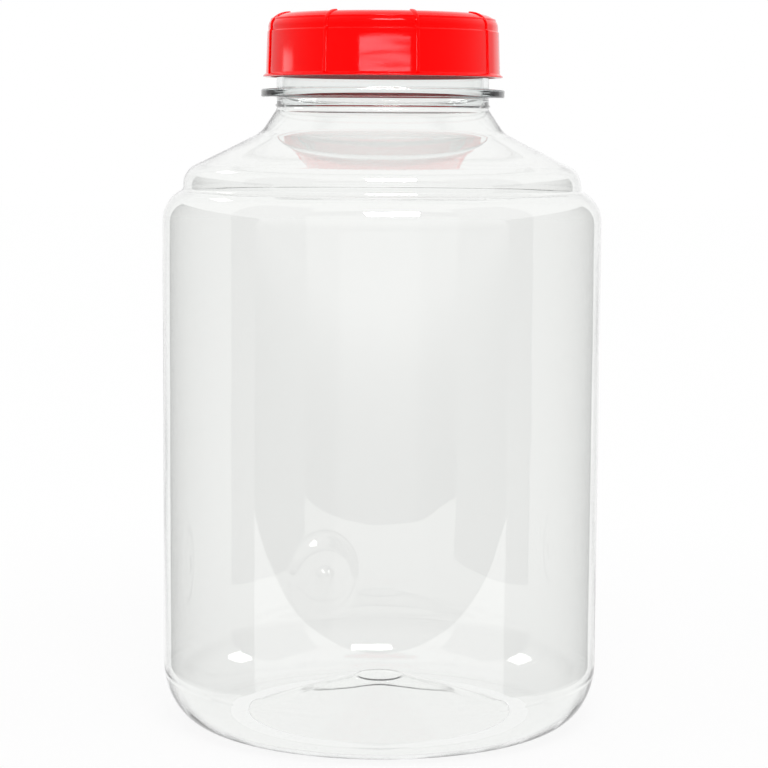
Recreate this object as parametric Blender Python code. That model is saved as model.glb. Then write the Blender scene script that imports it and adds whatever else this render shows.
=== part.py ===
"""A wide-mouth carboy: a clear blown bottle, its red screw lid and the sealing ring in the lid.

Metres, +Z up. The origin is on the bottle's axis, in the plane that the bottle stands on, and
-Y is the front. The lid and its ring have their origins on the same axis, which the lid turns
about and rises along.
"""

import math

import bmesh
import bpy
from mathutils import Matrix, Vector

# Body of the bottle
BODY_RADIUS = 0.1130
BODY_HEIGHT = 0.2706
BODY_WALL = 0.0010
SHOULDER_ROUNDING = 0.0177
LOWER_SHOULDER_SLOPE = math.radians(28.0)
STEP_INSET = 0.0107
STEP_RISE = 0.0093
STEP_ROUNDING = 0.0040
UPPER_ROUNDING = 0.0130
UPPER_SHOULDER_SLOPE = math.radians(26.4)

# Base of the bottle
BASE_WALL = 0.0016
HEEL_WIDTH = 0.0224
HEEL_HEIGHT = 0.0311
HEEL_LIFT = 0.00035
HEEL_MARGIN = 0.0118
FOOT_WIDTH = 0.0100
FOOT_ROUNDING = 0.0030
PUSH_UP_HEIGHT = 0.0198
PUSH_UP_ROUNDING = 0.0040
GATE_RADIUS = 0.0092

# Neck of the bottle
NECK_RADIUS = 0.0545
NECK_WALL = 0.0030
NECK_FLARE_WIDTH = 0.0079
NECK_FLARE_HEIGHT = 0.0119
NECK_FLARE_ROUNDING = 0.0130
NECK_FOOT_ROUNDING = 0.0030
NECK_STEM = 0.0060
NECK_BEAD_HEIGHT = 0.0014
NECK_BEAD_DEPTH = 0.0006
NECK_BEAD_DROP = 0.0036
SUPPORT_RING_RADIUS = 0.0625
SUPPORT_RING_THICKNESS = 0.0041
SUPPORT_RING_ROUNDING = 0.0006
FINISH_HEIGHT = 0.0334
RIM_ROUNDING = 0.0008

# Screw threads, right-handed
THREAD_PITCH = 0.0080
THREAD_ROOT_WIDTH = 0.0034
THREAD_CREST_WIDTH = 0.0014
THREAD_FLANK_CLEARANCE = 0.0004
THREAD_ROOT_SINK = 0.0004
THREAD_FADE_ANGLE = math.radians(30.0)
THREAD_END_SHARE = 0.10
NECK_THREAD_HEIGHT = 0.0020
NECK_THREAD_TURNS = 2.25
NECK_THREAD_RIM_GAP = 0.0045
LID_THREAD_TURNS = 1.75
LID_THREAD_CLEARANCE = 0.0009
LID_THREAD_EDGE_GAP = 0.0040

# Boss for a spigot, pressed into the back of the wall
BOSS_AZIMUTH = math.radians(17.0)
BOSS_CENTRE_HEIGHT = 0.0535
BOSS_RADIUS = 0.0170
BOSS_DEPTH = 0.0038
BOSS_FLARE = 2.5
PIP_RADIUS = 0.0054
PIP_DEPTH = 0.0016
PIP_FLOOR_SHARE = 0.45

# Lid
LID_WALL = 0.0018
LID_DRAFT = 0.0007
LID_TOP_WALL = 0.0023
LID_BORE_CLEARANCE = 0.0019
LID_EDGE_GAP = 0.0062
LID_FLANGE_WIDTH = 0.0023
LID_FLANGE_THICKNESS = 0.0012
LID_FLANGE_BEVEL = 0.0005
LID_LEDGE_DROP = 0.0087
LID_LEDGE_DEPTH = 0.0004
LID_CROWN_WIDTH = 0.0096
LID_CROWN_HEIGHT = 0.0066
LID_PLUG_CLEARANCE = 0.0010
LID_PLUG_WALL = 0.0015
LID_PLUG_DEPTH = 0.0040

# Ribs of the lid. The first angle is from the front towards +X.
RIB_COUNT = 8
RIB_FIRST_ANGLE = math.radians(-73.5)
RIB_WIDTH = 0.0012
RIB_FLANK_WIDTH = 0.0003
RIB_HEIGHT = 0.0007
RIB_TOP_LENGTH = 0.0020

# Sealing ring
SEAL_THICKNESS = 0.0019
SEAL_OVERHANG = 0.0018
SEAL_ROUNDING = 0.0004

# Fit and finish
SEAT_GAP = 0.0003
CUT_OVERRUN = 0.0040
MERGE_DISTANCE = 0.000001
SEGMENTS = 54
BOSS_SEGMENTS = 30
HEEL_STEPS = 6
CROWN_STEPS = 5
LID_STEPS = 6
CHORD_TOLERANCE = 0.00015
SHARP_ANGLE = math.radians(35.0)

# Worked out from the sizes above
STEP_RADIUS = BODY_RADIUS - STEP_INSET
STEP_FOOT_HEIGHT = BODY_HEIGHT + STEP_INSET * math.tan(LOWER_SHOULDER_SLOPE)
STEP_TOP_HEIGHT = STEP_FOOT_HEIGHT + STEP_RISE
FLARE_RADIUS = NECK_RADIUS + NECK_FLARE_WIDTH
FLARE_FOOT_HEIGHT = STEP_TOP_HEIGHT + (STEP_RADIUS - FLARE_RADIUS) * math.tan(UPPER_SHOULDER_SLOPE)
NECK_FOOT_HEIGHT = FLARE_FOOT_HEIGHT + NECK_FLARE_HEIGHT
RING_BOTTOM = NECK_FOOT_HEIGHT + NECK_STEM
RING_TOP = RING_BOTTOM + SUPPORT_RING_THICKNESS
RIM = RING_TOP + FINISH_HEIGHT
NECK_BORE_RADIUS = NECK_RADIUS - NECK_WALL
HEEL_RADIUS = BODY_RADIUS - HEEL_WIDTH
FOOT_OUTER_RADIUS = HEEL_RADIUS - HEEL_MARGIN
FOOT_INNER_RADIUS = FOOT_OUTER_RADIUS - FOOT_WIDTH
NECK_THREAD_RADIUS = NECK_RADIUS + NECK_THREAD_HEIGHT
LID_THREAD_RADIUS = NECK_RADIUS + LID_THREAD_CLEARANCE
LID_BORE_RADIUS = NECK_THREAD_RADIUS + LID_BORE_CLEARANCE
SEAL_BOTTOM = RIM + SEAT_GAP
SEAL_TOP = SEAL_BOTTOM + SEAL_THICKNESS
LID_CEILING = SEAL_TOP + SEAT_GAP
LID_TOP = LID_CEILING + LID_TOP_WALL
LID_EDGE = RING_TOP + LID_EDGE_GAP
LID_LEDGE_RADIUS = LID_BORE_RADIUS + LID_WALL
LID_SKIRT_RADIUS = LID_LEDGE_RADIUS + LID_DRAFT
LID_PLUG_RADIUS = NECK_BORE_RADIUS - LID_PLUG_CLEARANCE


def clear_scene():
    for thing in list(bpy.data.objects):
        bpy.data.objects.remove(thing)


def plastic(name, colour, roughness, transmission=0.0, ior=1.5):
    """A plain moulded plastic, or a clear one where transmission is 1."""
    material = bpy.data.materials.new(name)
    material.use_nodes = True
    shader = material.node_tree.nodes["Principled BSDF"]
    shader.inputs["Base Color"].default_value = (*colour, 1.0)
    shader.inputs["Roughness"].default_value = roughness
    shader.inputs["Metallic"].default_value = 0.0
    shader.inputs["Transmission Weight"].default_value = transmission
    shader.inputs["IOR"].default_value = ior
    return material


def add_object(name, bm, height=0.0):
    """An object on the bottle's axis with this mesh, its faces turned outwards."""
    bmesh.ops.recalc_face_normals(bm, faces=bm.faces)
    if bm.calc_volume(signed=True) < 0:
        bmesh.ops.reverse_faces(bm, faces=bm.faces)
    mesh = bpy.data.meshes.new(name)
    bm.to_mesh(mesh)
    bm.free()
    mesh.shade_smooth()
    mesh.set_sharp_from_angle(angle=SHARP_ANGLE)
    thing = bpy.data.objects.new(name, mesh)
    thing.location.z = height
    bpy.context.scene.collection.objects.link(thing)
    return thing


def combine(target, tool, operation):
    """Joins the tool to the target, or cuts it out, and leaves the tool as a guide."""
    step = target.modifiers.new(tool.name, "BOOLEAN")
    step.operation = operation
    step.solver = "EXACT"
    step.object = tool
    tool.hide_render = True
    tool.display_type = "WIRE"


def spun(outline, segments=SEGMENTS):
    """The mesh of an outline of (radius, height) points turned round the Z axis.

    An outline that starts on the axis is closed there, and any other is closed on itself.
    """
    bm = bmesh.new()
    corners = [bm.verts.new((radius, 0, height)) for radius, height in outline]
    sides = [bm.edges.new(pair) for pair in zip(corners, corners[1:])]
    if outline[0][0] > 0:
        sides.append(bm.edges.new((corners[-1], corners[0])))
    bmesh.ops.spin(
        bm,
        geom=corners + sides,
        cent=(0, 0, 0),
        axis=(0, 0, 1),
        angle=math.tau,
        steps=segments,
        use_merge=True,
    )
    bmesh.ops.remove_doubles(bm, verts=bm.verts, dist=MERGE_DISTANCE)
    return bm


def unit(across, up):
    length = math.hypot(across, up)
    return across / length, up / length


def rounded(corner_list):
    """The outline through (radius, height, rounding) corners, each rounded by its own arc."""
    outline = [corner_list[0][:2]]
    for before, corner, after in zip(corner_list, corner_list[1:], corner_list[2:]):
        outline += corner_arc(before, corner, after)
    outline.append(corner_list[-1][:2])
    return outline


def corner_arc(before, corner, after):
    """Points of the arc that rounds a corner, or the corner itself where its rounding is 0."""
    radius, height, rounding = corner
    if rounding == 0:
        return [(radius, height)]
    back = unit(before[0] - radius, before[1] - height)
    on = unit(after[0] - radius, after[1] - height)
    inside = math.acos(back[0] * on[0] + back[1] * on[1])
    turn = math.pi - inside
    reach = rounding / math.tan(inside / 2)
    middle = unit(back[0] + on[0], back[1] + on[1])
    depth = rounding / math.sin(inside / 2)
    centre = (radius + middle[0] * depth, height + middle[1] * depth)
    start = (radius + back[0] * reach - centre[0], height + back[1] * reach - centre[1])
    hand = math.copysign(1, on[0] * back[1] - on[1] * back[0])
    finest = 2 * math.acos(1 - CHORD_TOLERANCE / rounding)
    steps = max(2, round(turn / finest))
    arc = []
    for step in range(steps + 1):
        angle = hand * turn * step / steps
        across = start[0] * math.cos(angle) - start[1] * math.sin(angle)
        up = start[0] * math.sin(angle) + start[1] * math.cos(angle)
        arc.append((centre[0] + across, centre[1] + up))
    return arc


def quarter_curve(centre, width, height, steps):
    """Points of a quarter ellipse that rises from the foot of its centre to its outer side."""
    curve = []
    for step in range(steps + 1):
        angle = math.pi / 2 * step / steps
        across = centre[0] + width * math.sin(angle)
        up = centre[1] - height * math.cos(angle)
        curve.append((across, up))
    return curve


def base_outline():
    """The underside of the bottle, from the gate mark on its axis to the foot of the heel."""
    return rounded(
        [
            (0, PUSH_UP_HEIGHT, 0),
            (GATE_RADIUS, PUSH_UP_HEIGHT, PUSH_UP_ROUNDING),
            (FOOT_INNER_RADIUS, 0, FOOT_ROUNDING),
            (FOOT_OUTER_RADIUS, 0, 0),
            (HEEL_RADIUS, HEEL_LIFT, 0),
        ]
    )


def shoulder_outline():
    """The two sloping shoulders and the step between them, up to the stem of the neck."""
    return rounded(
        [
            (BODY_RADIUS, HEEL_HEIGHT, 0),
            (BODY_RADIUS, BODY_HEIGHT, SHOULDER_ROUNDING),
            (STEP_RADIUS, STEP_FOOT_HEIGHT, STEP_ROUNDING),
            (STEP_RADIUS, STEP_TOP_HEIGHT, UPPER_ROUNDING),
            (FLARE_RADIUS, FLARE_FOOT_HEIGHT, NECK_FLARE_ROUNDING),
            (NECK_RADIUS, NECK_FOOT_HEIGHT, NECK_FOOT_ROUNDING),
            (NECK_RADIUS, RING_BOTTOM, 0),
        ]
    )[:-1]


def shell_outline():
    """The outside of the blown part, from the axis underneath to where the neck begins."""
    heel = quarter_curve(
        (HEEL_RADIUS, HEEL_HEIGHT), HEEL_WIDTH, HEEL_HEIGHT - HEEL_LIFT, HEEL_STEPS
    )
    return base_outline()[:-1] + heel[:-1] + shoulder_outline()


def finish_outline():
    """The outside of the neck from its bead to the rim, with the support ring."""
    bead_top = RING_BOTTOM - NECK_BEAD_DROP
    bead_foot = bead_top - NECK_BEAD_HEIGHT
    bead_radius = NECK_RADIUS + NECK_BEAD_DEPTH
    return rounded(
        [
            (NECK_RADIUS, bead_foot, 0),
            (bead_radius, bead_foot + NECK_BEAD_DEPTH, 0),
            (bead_radius, bead_top, 0),
            (NECK_RADIUS, bead_top, 0),
            (NECK_RADIUS, RING_BOTTOM, 0),
            (SUPPORT_RING_RADIUS, RING_BOTTOM, SUPPORT_RING_ROUNDING),
            (SUPPORT_RING_RADIUS, RING_TOP, SUPPORT_RING_ROUNDING),
            (NECK_RADIUS, RING_TOP, 0),
            (NECK_RADIUS, RIM, RIM_ROUNDING),
            (0, RIM, 0),
        ]
    )


def wall_at(radius, height):
    """The wall of the blown part: thicker under the base and where it meets the neck."""
    if height < BODY_HEIGHT:
        share = min(1, height / HEEL_HEIGHT) if radius > HEEL_RADIUS else 0
        return BASE_WALL + (BODY_WALL - BASE_WALL) * share
    share = max(0, (FLARE_RADIUS - radius) / NECK_FLARE_WIDTH)
    return BODY_WALL + (NECK_WALL - BODY_WALL) * share


def cavity_outline():
    """The inside of the bottle: the shell's outline moved in by the wall, then the bore."""
    shell = shell_outline()
    inside = [(0, shell[0][1] + BASE_WALL)]
    for before, point, after in zip(shell, shell[1:], shell[2:] + [(NECK_RADIUS, RIM)]):
        first = unit(point[0] - before[0], point[1] - before[1])
        second = unit(after[0] - point[0], after[1] - point[1])
        spread = 1 + first[0] * second[0] + first[1] * second[1]
        shift = wall_at(*point) / spread
        across = point[0] - (first[1] + second[1]) * shift
        inside.append((across, point[1] + (first[0] + second[0]) * shift))
    top = RIM + CUT_OVERRUN
    return inside + [(NECK_BORE_RADIUS, top), (0, top)]


def ridge(base, crest, start, turns, height, root_width):
    """A screw ridge from one radius to another, which fades into the wall at both its ends.

    It climbs one pitch a turn from this height at angle zero, and starts so many steps on.
    Its corners lie halfway between those of the bottle's wall.
    """
    bm = bmesh.new()
    steps = round(turns * SEGMENTS)
    turn = math.tau / SEGMENTS
    sections = []
    for step in range(steps + 1):
        angle = (start + step + 1 / 2) * turn
        from_end = min(step, steps - step) * turn
        share = min(1, THREAD_END_SHARE + (1 - THREAD_END_SHARE) * from_end / THREAD_FADE_ANGLE)
        top = base + (crest - base) * share
        middle = height + THREAD_PITCH * angle / math.tau
        corners = [
            (base, middle - root_width / 2),
            (top, middle - THREAD_CREST_WIDTH / 2),
            (top, middle + THREAD_CREST_WIDTH / 2),
            (base, middle + root_width / 2),
        ]
        sections.append(
            [
                bm.verts.new((radius * math.cos(angle), radius * math.sin(angle), level))
                for radius, level in corners
            ]
        )
    bridge(bm, sections)
    return bm


def bridge(bm, sections):
    """Faces between each section of four corners and the next, with a cap on both ends."""
    for lower, upper in zip(sections, sections[1:]):
        for side in range(len(lower)):
            following = (side + 1) % len(lower)
            bm.faces.new((lower[side], lower[following], upper[following], upper[side]))
    bm.faces.new(sections[0])
    bm.faces.new(sections[-1])


def width_at(radius, base, crest, root_width):
    """How wide a ridge is at a radius between its root and its crest."""
    share = (radius - base) / (crest - base)
    return root_width + (THREAD_CREST_WIDTH - root_width) * share


def thread_height():
    """The height of the middle of the neck's ridge at angle zero, where it starts."""
    return RIM - NECK_THREAD_RIM_GAP - NECK_THREAD_TURNS * THREAD_PITCH


def thread_drop():
    """How far the lid's ridge lies under the neck's when the lid is screwed down."""
    sums = []
    for radius in (LID_THREAD_RADIUS, NECK_THREAD_RADIUS):
        neck = width_at(radius, NECK_RADIUS, NECK_THREAD_RADIUS, THREAD_ROOT_WIDTH)
        lid = width_at(radius, LID_BORE_RADIUS, LID_THREAD_RADIUS, THREAD_ROOT_WIDTH)
        sums.append((neck + lid) / 2)
    return max(sums) + THREAD_FLANK_CLEARANCE


def boss_outline(offset):
    """The pressed-in boss as a cutter: pip, flat disc and sloping side, out past the wall."""
    corner = offset * (math.hypot(1, BOSS_FLARE) - BOSS_FLARE)
    reach = BOSS_DEPTH + CUT_OVERRUN
    side = BOSS_RADIUS + offset * math.hypot(1, BOSS_FLARE) + reach * BOSS_FLARE
    return [
        (0, -PIP_DEPTH - offset),
        (PIP_RADIUS * PIP_FLOOR_SHARE + corner, -PIP_DEPTH - offset),
        (PIP_RADIUS + corner, -offset),
        (BOSS_RADIUS + corner, -offset),
        (side, reach),
        (0, reach),
    ]


def add_boss(name, offset):
    """The boss cutter, standing on the wall at the back, moved in by an offset."""
    bm = spun(boss_outline(offset), BOSS_SEGMENTS)
    outwards = Matrix.Rotation(BOSS_AZIMUTH, 4, "Z") @ Matrix.Rotation(-math.pi / 2, 4, "X")
    bm.transform(outwards @ Matrix.Translation((0, 0, BODY_RADIUS - BOSS_DEPTH)))
    return add_object(name, bm, BOSS_CENTRE_HEIGHT)


def add_bottle():
    """The blown bottle with its neck, thread, support ring and spigot boss.

    The corners of its inside lie halfway between those of its outside.
    """
    inside = spun(cavity_outline())
    inside.transform(Matrix.Rotation(math.pi / SEGMENTS, 4, "Z"))
    bottle = add_object("bottle", spun(shell_outline() + finish_outline()))
    cavity = add_object("bottle_cavity", inside)
    thread = ridge(
        NECK_RADIUS - THREAD_ROOT_SINK,
        NECK_THREAD_RADIUS,
        0,
        NECK_THREAD_TURNS,
        thread_height(),
        THREAD_ROOT_WIDTH,
    )
    combine(cavity, add_boss("boss_inside", BODY_WALL), "DIFFERENCE")
    combine(bottle, add_boss("boss_outside", 0), "DIFFERENCE")
    combine(bottle, cavity, "DIFFERENCE")
    combine(bottle, add_object("neck_thread", thread), "UNION")
    bottle.data.materials.append(plastic("clear_pet", (0.93, 0.95, 0.95), 0.04, 1.0, 1.57))
    return bottle


def lid_inside():
    """The inside of the lid from the middle of its ceiling over the plug ring to its edge."""
    plug_inside = LID_PLUG_RADIUS - LID_PLUG_WALL
    plug_end = LID_CEILING - LID_PLUG_DEPTH
    return [
        (0, LID_CEILING),
        (plug_inside, LID_CEILING),
        (plug_inside, plug_end),
        (LID_PLUG_RADIUS, plug_end),
        (LID_PLUG_RADIUS, LID_CEILING),
        (LID_BORE_RADIUS, LID_CEILING),
        (LID_BORE_RADIUS, LID_EDGE),
    ]


def lid_outside(proud):
    """The outside of the lid from its flange to its flat top, moved out so far on its side."""
    flange = LID_SKIRT_RADIUS + LID_FLANGE_WIDTH
    band = LID_LEDGE_RADIUS - LID_LEDGE_DEPTH
    ledge = LID_TOP - LID_LEDGE_DROP
    outline = [
        (flange - LID_FLANGE_BEVEL, LID_EDGE),
        (flange, LID_EDGE + LID_FLANGE_BEVEL),
        (LID_SKIRT_RADIUS + proud, LID_EDGE + LID_FLANGE_THICKNESS),
        (LID_LEDGE_RADIUS + proud, ledge - LID_LEDGE_DEPTH),
        (band + proud, ledge),
    ]
    for step in range(CROWN_STEPS + 1):
        angle = math.pi / 2 * step / CROWN_STEPS
        across = band - LID_CROWN_WIDTH + (LID_CROWN_WIDTH + proud) * math.cos(angle)
        up = LID_TOP - LID_CROWN_HEIGHT + (LID_CROWN_HEIGHT + proud) * math.sin(angle)
        outline.append((across, up))
    return outline + [(outline[-1][0] - RIB_TOP_LENGTH, LID_TOP)]


def lid_columns():
    """The outlines round the lid: a raised pair on each rib, and plain ones between the ribs."""
    plain = lid_outside(0)
    raised = lid_outside(RIB_HEIGHT)
    crest = RIB_WIDTH / 2 / LID_SKIRT_RADIUS
    foot = crest + RIB_FLANK_WIDTH / LID_SKIRT_RADIUS
    spacing = math.tau / RIB_COUNT
    columns = []
    for count in range(RIB_COUNT):
        middle = RIB_FIRST_ANGLE - math.pi / 2 + spacing * count
        columns += [(middle - crest, raised), (middle + crest, raised)]
        for step in range(LID_STEPS + 1):
            columns.append((middle + foot + (spacing - 2 * foot) * step / LID_STEPS, plain))
    return columns


def lid_shell():
    """The lid without its thread: its spun inside and ribbed outside, joined at its edge."""
    bm = spun(lid_inside())
    top = bm.verts.new((0, 0, LID_TOP))
    rows = []
    for angle, outline in lid_columns():
        turn = Matrix.Rotation(angle, 3, "Z")
        rows.append([bm.verts.new(turn @ Vector((radius, 0, height))) for radius, height in outline])
    for row, following in zip(rows, rows[1:] + rows[:1]):
        for low, high, next_high, next_low in zip(row, row[1:], following[1:], following):
            bm.faces.new((low, high, next_high, next_low))
        bm.faces.new((row[-1], top, following[-1]))
    bmesh.ops.bridge_loops(bm, edges=[edge for edge in bm.edges if edge.is_boundary])
    return bm


def add_lid():
    """The screw lid with its ribs outside and its thread and plug ring inside."""
    down = Matrix.Translation((0, 0, -LID_EDGE))
    middle = thread_height() - thread_drop()
    start = round((LID_EDGE + LID_THREAD_EDGE_GAP - middle) / THREAD_PITCH * SEGMENTS)
    thread = ridge(
        LID_BORE_RADIUS + THREAD_ROOT_SINK,
        LID_THREAD_RADIUS,
        start,
        LID_THREAD_TURNS,
        middle,
        THREAD_ROOT_WIDTH,
    )
    shell = lid_shell()
    for mesh in (shell, thread):
        mesh.transform(down)
    lid = add_object("lid", shell, LID_EDGE)
    combine(lid, add_object("lid_thread", thread, LID_EDGE), "UNION")
    lid.data.materials.append(plastic("red_moulding", (0.86, 0.006, 0.006), 0.28))
    return lid


def add_seal():
    """The flat sealing ring between the rim of the neck and the ceiling of the lid."""
    inner = LID_PLUG_RADIUS + SEAT_GAP
    outer = NECK_RADIUS + SEAL_OVERHANG
    ring = spun([(inner, 0), (outer, 0), (outer, SEAL_THICKNESS), (inner, SEAL_THICKNESS)])
    seal = add_object("lid_seal", ring, SEAL_BOTTOM)
    edges = seal.modifiers.new("soft_edges", "BEVEL")
    edges.width = SEAL_ROUNDING
    edges.segments = 1
    edges.limit_method = "ANGLE"
    edges.angle_limit = SHARP_ANGLE
    seal.data.materials.append(plastic("white_foam", (0.85, 0.85, 0.83), 0.7))
    return seal


def main():
    clear_scene()
    add_bottle()
    add_lid()
    add_seal()


main()
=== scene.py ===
"""The looks of a wide-mouth carboy: its clear blown bottle, ribbed red screw lid and foam seal.

Metres, +Z up and -Y to the front. The bottle's axis is the Z axis, and it stands on z = 0.
"""

import math

import bpy
import numpy as np
from mathutils import Matrix, Vector


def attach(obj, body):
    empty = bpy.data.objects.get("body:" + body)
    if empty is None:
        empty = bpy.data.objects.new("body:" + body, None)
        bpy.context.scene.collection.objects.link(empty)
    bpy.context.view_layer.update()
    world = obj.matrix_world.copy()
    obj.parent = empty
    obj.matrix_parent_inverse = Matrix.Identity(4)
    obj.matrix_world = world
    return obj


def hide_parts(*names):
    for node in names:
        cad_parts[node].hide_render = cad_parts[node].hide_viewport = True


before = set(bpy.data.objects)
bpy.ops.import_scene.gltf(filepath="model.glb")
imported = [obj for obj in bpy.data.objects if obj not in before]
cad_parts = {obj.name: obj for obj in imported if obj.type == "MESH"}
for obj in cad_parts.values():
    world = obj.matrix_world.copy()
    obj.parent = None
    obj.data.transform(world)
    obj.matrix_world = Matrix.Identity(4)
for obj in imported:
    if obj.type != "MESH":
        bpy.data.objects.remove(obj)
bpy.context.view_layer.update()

# Body of the bottle
BODY_RADIUS = 0.1130
BODY_HEIGHT = 0.2706
BODY_WALL = 0.0010
SHOULDER_ROUNDING = 0.0177
LOWER_SHOULDER_SLOPE = math.radians(28.0)
STEP_INSET = 0.0107
STEP_RISE = 0.0093
STEP_ROUNDING = 0.0024
UPPER_ROUNDING = 0.0108
UPPER_SHOULDER_SLOPE = math.radians(26.4)

# Base of the bottle
BASE_WALL = 0.0016
HEEL_WIDTH = 0.0224
HEEL_HEIGHT = 0.0311
HEEL_LIFT = 0.00035
HEEL_MARGIN = 0.0118
FOOT_WIDTH = 0.0100
FOOT_ROUNDING = 0.0030
FOOT_EDGE_ROUNDING = 0.0006
FOOT_STEP = 0.0009
FOOT_STEP_SLOPE = 1 / 3
FOOT_STEP_ROUNDING = 0.00025
PUSH_UP_HEIGHT = 0.0198
PUSH_UP_ROUNDING = 0.0040
GATE_RADIUS = 0.0120

# Neck of the bottle
NECK_RADIUS = 0.0545
NECK_WALL = 0.0030
NECK_FOOT_WALL = 0.0015
NECK_FLARE_WIDTH = 0.0079
NECK_FLARE_HEIGHT = 0.0119
NECK_FLARE_ROUNDING = 0.0130
NECK_FOOT_ROUNDING = 0.0030
NECK_STEM = 0.0060
NECK_BEAD_HEIGHT = 0.0014
NECK_BEAD_DEPTH = 0.0006
NECK_BEAD_DROP = 0.0036
NECK_BEAD_ROUNDING = 0.0003
SUPPORT_RING_RADIUS = 0.0625
SUPPORT_RING_THICKNESS = 0.0041
SUPPORT_RING_ROUNDING = 0.0008
RING_ROOT_ROUNDING = 0.0006
FINISH_HEIGHT = 0.0334
RIM_ROUNDING = 0.0008

# Screw threads
THREAD_PITCH = 0.0080
THREAD_ROOT_WIDTH = 0.0034
THREAD_CREST_WIDTH = 0.0014
NECK_THREAD_HEIGHT = 0.0020
NECK_THREAD_TURNS = 2.25
NECK_THREAD_RIM_GAP = 0.0045
THREAD_FADE_TURNS = 0.08
LID_THREAD_TURNS = 1.75
LID_THREAD_CLEARANCE = 0.0009
LID_THREAD_EDGE_GAP = 0.0040
LID_THREAD_DROP = 0.00235
LID_THREAD_SINK = 0.0006
LID_THREAD_ROUNDING = 0.0003
LID_THREAD_END_SHARE = 0.12

# Boss for a spigot, pressed into the back of the wall
BOSS_ANGLE = math.radians(107.0)
BOSS_CENTRE_HEIGHT = 0.0535
BOSS_RADIUS = 0.0170
BOSS_DEPTH = 0.0038
BOSS_FLARE = 1.7
BOSS_SOFTNESS = 0.0014
PIP_RADIUS = 0.0054
PIP_TOP_RADIUS = 0.0018
PIP_DEPTH = 0.0022

# Marks of the blow mould: a line round the heel and one down each side
HEEL_LINE_HEIGHT = 0.0265
MOULD_LINE_WIDTH = 0.0005
MOULD_LINE_RELIEF = 0.00007
MOULD_LINE_INNER_RADIUS = 0.0815

# Lid
LID_WALL = 0.0016
LID_DRAFT = 0.0007
LID_TOP_WALL = 0.0023
LID_BORE_CLEARANCE = 0.0012
LID_EDGE_GAP = 0.0062
LID_FLANGE_WIDTH = 0.0029
LID_FLANGE_THICKNESS = 0.0016
LID_FLANGE_ROUNDING = 0.0005
LID_LEDGE_DROP = 0.0087
LID_LEDGE_DEPTH = 0.0005
LID_CROWN_WIDTH = 0.0096
LID_CROWN_HEIGHT = 0.0066
LID_PLUG_CLEARANCE = 0.0010
LID_PLUG_WALL = 0.0015
LID_PLUG_DEPTH = 0.0040
LID_PLUG_ROUNDING = 0.0005
LID_PLUG_ROOT_ROUNDING = 0.0004
LID_BORE_ROUNDING = 0.0008
LID_FLANGE_ROOT_ROUNDING = 0.0008
LID_LEDGE_ROUNDING = 0.0004
LID_BAND_ROUNDING = 0.0003
LID_GATE_RADIUS = 0.0016
LID_GATE_DEPTH = 0.0004
LID_GATE_RIM_RADIUS = 0.00208
LID_GATE_HOLD_RADIUS = 0.00288

# Ribs of the lid
RIB_COUNT = 8
RIB_FIRST_ANGLE = math.radians(-163.5)
RIB_FOOT_WIDTH = 0.0025
RIB_CREST_WIDTH = 0.0016
RIB_HEIGHT = 0.0007
RIB_SINK = 0.0004
RIB_ROUNDING = 0.00045

# Sealing ring
SEAL_THICKNESS = 0.0019
SEAL_OVERHANG = 0.0018
SEAL_ROUNDING = 0.0004
SEAT_GAP = 0.0003

# Worked out from the sizes above
STEP_RADIUS = BODY_RADIUS - STEP_INSET
STEP_FOOT_HEIGHT = BODY_HEIGHT + STEP_INSET * math.tan(LOWER_SHOULDER_SLOPE)
STEP_TOP_HEIGHT = STEP_FOOT_HEIGHT + STEP_RISE
FLARE_RADIUS = NECK_RADIUS + NECK_FLARE_WIDTH
FLARE_FOOT_HEIGHT = STEP_TOP_HEIGHT + (STEP_RADIUS - FLARE_RADIUS) * math.tan(UPPER_SHOULDER_SLOPE)
NECK_FOOT_HEIGHT = FLARE_FOOT_HEIGHT + NECK_FLARE_HEIGHT
RING_BOTTOM = NECK_FOOT_HEIGHT + NECK_STEM
RING_TOP = RING_BOTTOM + SUPPORT_RING_THICKNESS
RIM = RING_TOP + FINISH_HEIGHT
NECK_BORE_RADIUS = NECK_RADIUS - NECK_WALL
HEEL_RADIUS = BODY_RADIUS - HEEL_WIDTH
FOOT_OUTER_RADIUS = HEEL_RADIUS - HEEL_MARGIN
FOOT_INNER_RADIUS = FOOT_OUTER_RADIUS - FOOT_WIDTH
THREAD_START = RIM - NECK_THREAD_RIM_GAP - NECK_THREAD_TURNS * THREAD_PITCH
LID_BORE_RADIUS = NECK_RADIUS + NECK_THREAD_HEIGHT + LID_BORE_CLEARANCE
LID_CEILING = RIM + SEAT_GAP + SEAL_THICKNESS + SEAT_GAP
LID_TOP = LID_CEILING + LID_TOP_WALL
LID_EDGE = RING_TOP + LID_EDGE_GAP
LID_THREAD_RISE = LID_EDGE + LID_THREAD_EDGE_GAP - (THREAD_START - LID_THREAD_DROP)
LID_LEDGE_RADIUS = LID_BORE_RADIUS + LID_WALL
LID_SKIRT_RADIUS = LID_LEDGE_RADIUS + LID_DRAFT
LID_PLUG_RADIUS = NECK_BORE_RADIUS - LID_PLUG_CLEARANCE

# Any number of bounces of a kind in a light's path lies on one side of these
NO_BOUNCE = 0.5
ONE_BOUNCE = 1.5

# Fineness of the meshes
ARC_STEP = math.radians(8.0)
SMALL_ROUNDING = 0.0013
SMALL_STEP = math.radians(20.0)
LONG_RUN = 0.0030
HOLD = 0.0005
HEEL_STEPS = 30
CROWN_STEPS = 14
RIDGE_CORNER_STEPS = 3
HELIX_STEPS = 72
LID_COLUMNS = 180
COLUMN_WIDTH = math.radians(2.5)
BOSS_COLUMN_WIDTH = math.radians(0.5)
SEAM_COLUMN_WIDTH = math.radians(0.18)
BOSS_REACH = 0.0290
SEAM_REACH = math.radians(0.7)
BODY_ROW = 0.0200
BOSS_ROW = 0.0014
THREAD_ROW = 0.00052
BASE_ROW = 0.0060
MERGE_DISTANCE = 0.000001
SMOOTH_ANGLE = math.radians(40.0)

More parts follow.
